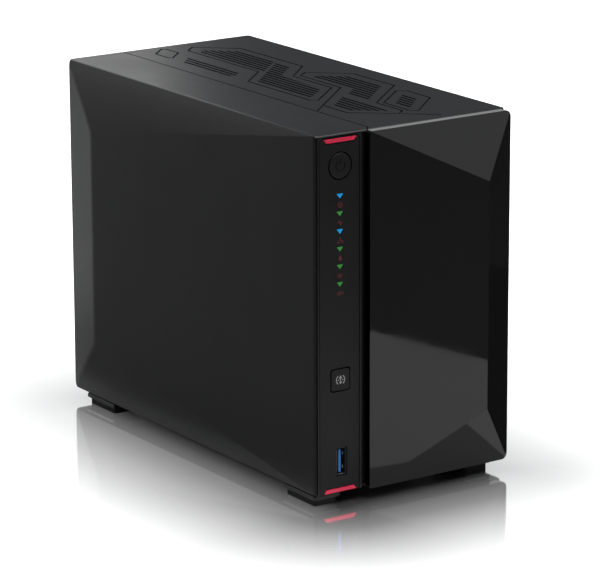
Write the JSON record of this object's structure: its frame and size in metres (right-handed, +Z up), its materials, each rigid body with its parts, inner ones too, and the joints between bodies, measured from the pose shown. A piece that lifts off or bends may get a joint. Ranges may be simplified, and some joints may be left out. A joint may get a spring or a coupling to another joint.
{
  "type": "nas enclosure",
  "caption": "Upright two-bay network storage enclosure: faceted gloss cover over sliding drive trays, control strip with keys, vented roof, rear fan and ports.",
  "frame": {"origin": "middle of the bounding box, on the floor under the feet", "axes": "+X to the right seen from the front, +Y to the rear, +Z up"},
  "size_m": [0.115, 0.224, 0.175],
  "materials": {
    "shell_plastic": "fine textured matt black",
    "strip_plastic": "fine brushed satin black",
    "gloss_cover": "piano gloss black",
    "accent_red": "satin crimson",
    "clear_guide": "frosted clear",
    "inner_plastic": "satin black",
    "usb_blue": "satin blue",
    "steel": "zinc plated sheet",
    "painted_steel": "fine black powder coat",
    "magnet_nickel": "nickel",
    "board_green": "solder mask",
    "aluminium": "extruded",
    "rubber": "matt"
  },
  "bodies": {
    "enclosure": {"left_shell": "shell_plastic", "right_shell": "shell_plastic", "front_frame": "shell_plastic", "indicator_panel": "strip_plastic", "accent_bar_top": "accent_red", "accent_bar_bottom": "accent_red", "light_guide": "clear_guide", "front_board": "board_green", "front_usb_shell": "steel", "front_usb_tongue": "usb_blue", "catch_plate_lower": "steel", "catch_plate_upper": "steel", "base_plate": "steel", "drive_cage": "steel", "backplane_board": "board_green", "sata_connector_1": "inner_plastic", "sata_connector_2": "inner_plastic", "board_slot": "inner_plastic", "main_board": "board_green", "heat_sink": "aluminium", "memory_socket": "inner_plastic", "memory_module": "board_green", "rear_panel": "painted_steel", "port_plate": "painted_steel", "fan_frame": "inner_plastic", "fan_screw_1": "steel", "fan_screw_2": "steel", "fan_screw_3": "steel", "fan_screw_4": "steel", "case_screw_1": "steel", "case_screw_2": "steel", "lan_port_1": "steel", "lan_port_2": "steel", "rear_usb_shell": "steel", "rear_usb_tongue_1": "usb_blue", "rear_usb_tongue_2": "usb_blue", "hdmi_port": "steel", "dc_jack": "inner_plastic", "foot_1": "rubber", "foot_2": "rubber", "foot_3": "rubber", "foot_4": "rubber"},
    "cover": {"front_cover": "gloss_cover", "cover_magnet_1": "magnet_nickel", "cover_magnet_2": "magnet_nickel", "cover_magnet_3": "magnet_nickel", "cover_magnet_4": "magnet_nickel"},
    "power_key": {"power_button": "strip_plastic"},
    "copy_key": {"copy_button": "strip_plastic"},
    "fan_wheel": {"fan_rotor": "inner_plastic"},
    "tray_1": {"drive_tray_1": "inner_plastic", "tray_rail_1_upper": "inner_plastic", "tray_rail_1_lower": "inner_plastic"},
    "handle_1": {"tray_handle_1": "inner_plastic"},
    "latch_1": {"tray_latch_1": "accent_red"},
    "tray_2": {"drive_tray_2": "inner_plastic", "tray_rail_2_upper": "inner_plastic", "tray_rail_2_lower": "inner_plastic"},
    "handle_2": {"tray_handle_2": "inner_plastic"},
    "latch_2": {"tray_latch_2": "accent_red"}
  },
  "joints": [
    {"name": "power_press", "type": "slide", "parent": "enclosure", "child": "power_key", "axis": [0, 1, 0], "range_m": [0, 0.001], "stiffness_N_per_m": 1500},
    {"name": "copy_press", "type": "slide", "parent": "enclosure", "child": "copy_key", "axis": [0, 1, 0], "range_m": [0, 0.0008], "stiffness_N_per_m": 1500},
    {"name": "cover_pull", "type": "slide", "parent": "enclosure", "child": "cover", "axis": [0, -1, 0], "range_m": [0, 0.26]},
    {"name": "fan_turn", "type": "hinge", "parent": "enclosure", "child": "fan_wheel", "pos_m": [0.006, 0.095, 0.104], "axis": [0, 1, 0], "continuous": true},
    {"name": "tray_1_slide", "type": "slide", "parent": "enclosure", "child": "tray_1", "axis": [0, -1, 0], "range_m": [0, 0.13]},
    {"name": "handle_1_swing", "type": "hinge", "parent": "tray_1", "child": "handle_1", "pos_m": [-0.0046, -0.102, 0.0465], "axis": [1, 0, 0], "range_deg": [0, 60]},
    {"name": "latch_1_press", "type": "slide", "parent": "tray_1", "child": "latch_1", "axis": [0, 1, 0], "range_m": [0, 0.001], "stiffness_N_per_m": 800},
    {"name": "tray_2_slide", "type": "slide", "parent": "enclosure", "child": "tray_2", "axis": [0, -1, 0], "range_m": [0, 0.13]},
    {"name": "handle_2_swing", "type": "hinge", "parent": "tray_2", "child": "handle_2", "pos_m": [0.0316, -0.102, 0.0465], "axis": [1, 0, 0], "range_deg": [0, 60]},
    {"name": "latch_2_press", "type": "slide", "parent": "tray_2", "child": "latch_2", "axis": [0, 1, 0], "range_m": [0, 0.001], "stiffness_N_per_m": 800}
  ],
  "couplings": [
    {"joint": "tray_1_slide", "follows": "cover_pull", "ratio": 0.5},
    {"joint": "handle_1_swing", "follows": "cover_pull", "rad_per_m": 4},
    {"joint": "tray_2_slide", "follows": "cover_pull", "ratio": 0.5},
    {"joint": "handle_2_swing", "follows": "cover_pull", "rad_per_m": 4}
  ]
}
